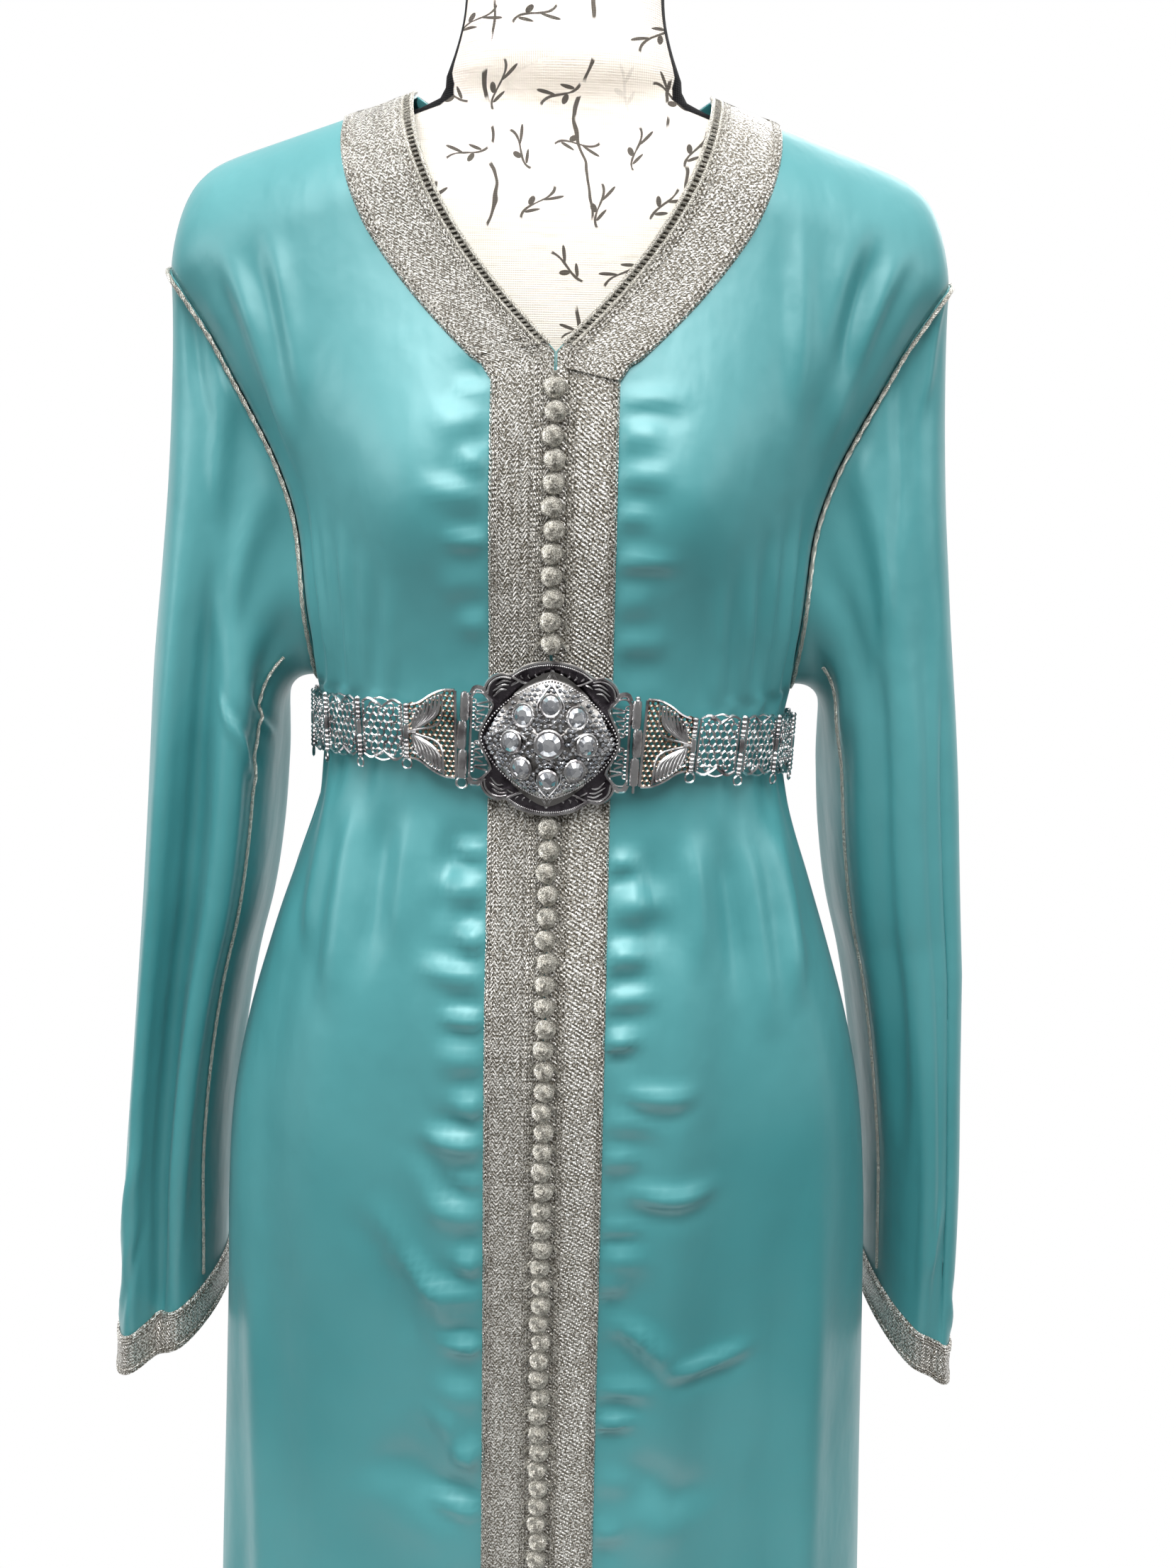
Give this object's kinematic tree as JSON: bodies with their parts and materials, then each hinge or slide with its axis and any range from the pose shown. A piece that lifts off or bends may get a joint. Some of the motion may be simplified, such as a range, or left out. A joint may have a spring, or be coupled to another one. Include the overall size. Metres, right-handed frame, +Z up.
{
  "type": "moroccan kaftan with metal belt on a limbless dress form with stand",
  "caption": "Long satin kaftan with braided front band, knotted buttons and wide sleeves, fastened with a pierced metal belt, on a dress form with a round base",
  "frame": {"origin": "the middle of the round base's underside, on the floor", "axes": "+Z is up, the front of the kaftan faces -Y, and its left front in the picture is at -X"},
  "size_m": [0.5112, 0.325, 1.575],
  "materials": {
    "satin": "glossy turquoise satin",
    "braid": "woven silver thread braid",
    "cord": "twisted silver thread",
    "belt_metal": "polished silver coloured metal",
    "stone": "clear faceted stone",
    "linen": "printed linen with black velvet sides",
    "stand_metal": "black paint",
    "cap_wood": "dark varnish"
  },
  "bodies": {
    "root": {"armhole_cord_left": "cord", "armhole_cord_right": "cord", "back": "satin", "belt_link_01": "belt_metal", "belt_link_02": "belt_metal", "belt_link_03": "belt_metal", "belt_link_04": "belt_metal", "belt_link_05": "belt_metal", "belt_link_06": "belt_metal", "belt_link_07": "belt_metal", "belt_link_08": "belt_metal", "belt_link_09": "belt_metal", "belt_link_10": "belt_metal", "belt_link_11": "belt_metal", "belt_link_12": "belt_metal", "belt_link_13": "belt_metal", "belt_link_14": "belt_metal", "belt_link_15": "belt_metal", "belt_link_16": "belt_metal", "belt_link_17": "belt_metal", "belt_link_18": "belt_metal", "belt_link_19": "belt_metal", "belt_wedge_left": "belt_metal", "belt_wedge_right": "belt_metal", "buckle_dome": "belt_metal", "buckle_hinge_left": "belt_metal", "buckle_hinge_right": "belt_metal", "buckle_medallion": "belt_metal", "buckle_side_left": "belt_metal", "buckle_side_right": "belt_metal", "buckle_stone_1": "stone", "buckle_stone_2": "stone", "buckle_stone_3": "stone", "buckle_stone_4": "stone", "buckle_stone_5": "stone", "buckle_stone_6": "stone", "buckle_stone_7": "stone", "buckle_stone_8": "stone", "buckle_stone_middle": "stone", "buttons_lower": "cord", "buttons_upper": "cord", "cuff_band_left": "braid", "cuff_band_right": "braid", "form_base": "stand_metal", "form_neck_cap": "cap_wood", "form_pole": "stand_metal", "form_torso": "linen", "front_braid_left": "braid", "front_braid_right": "braid", "front_left": "satin", "front_right": "satin", "neck_band_back": "braid", "neck_band_left": "braid", "neck_band_right": "braid", "sleeve_cord_left": "cord", "sleeve_cord_right": "cord", "sleeve_left": "satin", "sleeve_right": "satin"}
  },
  "joints": []
}
